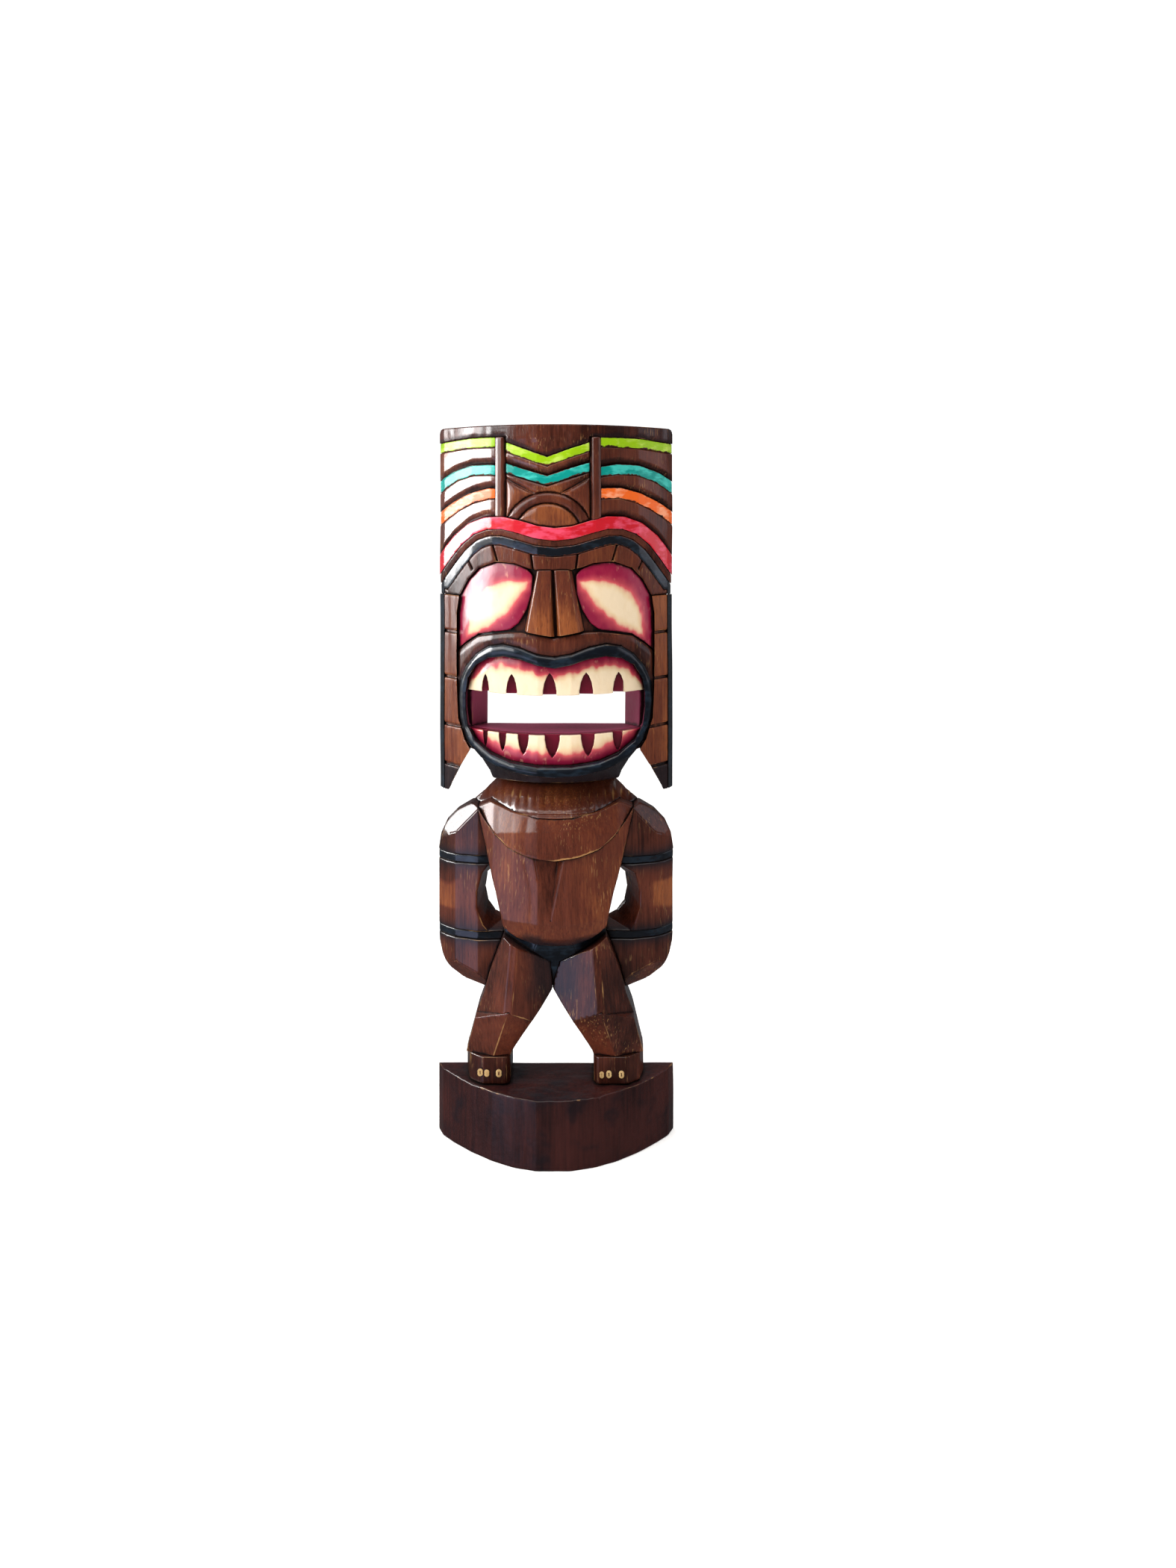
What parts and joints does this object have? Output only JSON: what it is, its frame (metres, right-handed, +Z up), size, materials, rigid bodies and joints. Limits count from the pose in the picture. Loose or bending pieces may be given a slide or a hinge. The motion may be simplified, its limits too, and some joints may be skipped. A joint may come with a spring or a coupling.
{
  "type": "carved tiki figure",
  "caption": "Standing tiki figure carved from half a log, with a tall square-crowned head, open toothed mouth, painted bands and a plinth.",
  "frame": {"origin": "middle of the plinth's underside", "axes": "+Z up through the figure, the face looks along -Y, +X to the right as seen from in front"},
  "size_m": [0.134, 0.044, 0.4],
  "materials": {
    "stained_wood": "satin varnish over reddish-brown stain",
    "rubbed_wood": "satin varnish, stain rubbed back to golden brown",
    "dark_wood": "satin varnish over dark maroon-brown stain",
    "black_paint": "brushed blue-black paint under varnish",
    "red_paint": "brushed paint under varnish",
    "green_paint": "brushed paint under varnish",
    "teal_paint": "brushed paint under varnish",
    "orange_paint": "brushed paint under varnish",
    "cream_paint": "cream paint shaded with crimson, under varnish",
    "bare_wood": "bare pale wood where the stain is cut away"
  },
  "bodies": {
    "root": {"plinth": "dark_wood", "left_foot": "stained_wood", "right_foot": "stained_wood", "left_toenails": "bare_wood", "right_toenails": "bare_wood", "left_shin": "stained_wood", "right_shin": "stained_wood", "left_thigh": "stained_wood", "right_thigh": "stained_wood", "hips": "black_paint", "belly": "stained_wood", "chest": "rubbed_wood", "neck": "stained_wood", "left_upper_arm": "stained_wood", "right_upper_arm": "stained_wood", "left_arm_band": "black_paint", "right_arm_band": "black_paint", "left_forearm": "stained_wood", "right_forearm": "stained_wood", "left_wrist_band": "black_paint", "right_wrist_band": "black_paint", "left_hand": "stained_wood", "right_hand": "stained_wood", "head_core": "stained_wood", "crown_rim": "stained_wood", "left_green_stripe": "green_paint", "right_green_stripe": "green_paint", "left_teal_stripe": "teal_paint", "right_teal_stripe": "teal_paint", "left_orange_stripe": "orange_paint", "right_orange_stripe": "orange_paint", "left_upper_course": "stained_wood", "right_upper_course": "stained_wood", "left_middle_course": "stained_wood", "right_middle_course": "stained_wood", "left_lower_course": "stained_wood", "right_lower_course": "stained_wood", "left_post": "rubbed_wood", "right_post": "rubbed_wood", "green_chevron": "green_paint", "teal_chevron": "teal_paint", "chevron_course": "stained_wood", "chevron_base": "stained_wood", "arch": "rubbed_wood", "arch_lens": "rubbed_wood", "red_band": "red_paint", "brow_bevel": "stained_wood", "black_band": "black_paint", "notched_brow": "stained_wood", "left_flap": "stained_wood", "right_flap": "stained_wood", "left_flap_edge": "black_paint", "right_flap_edge": "black_paint", "left_eye": "cream_paint", "right_eye": "cream_paint", "nose": "rubbed_wood", "cheeks": "stained_wood", "lip_ring": "black_paint", "upper_teeth": "cream_paint", "lower_teeth": "cream_paint"}
  },
  "joints": []
}
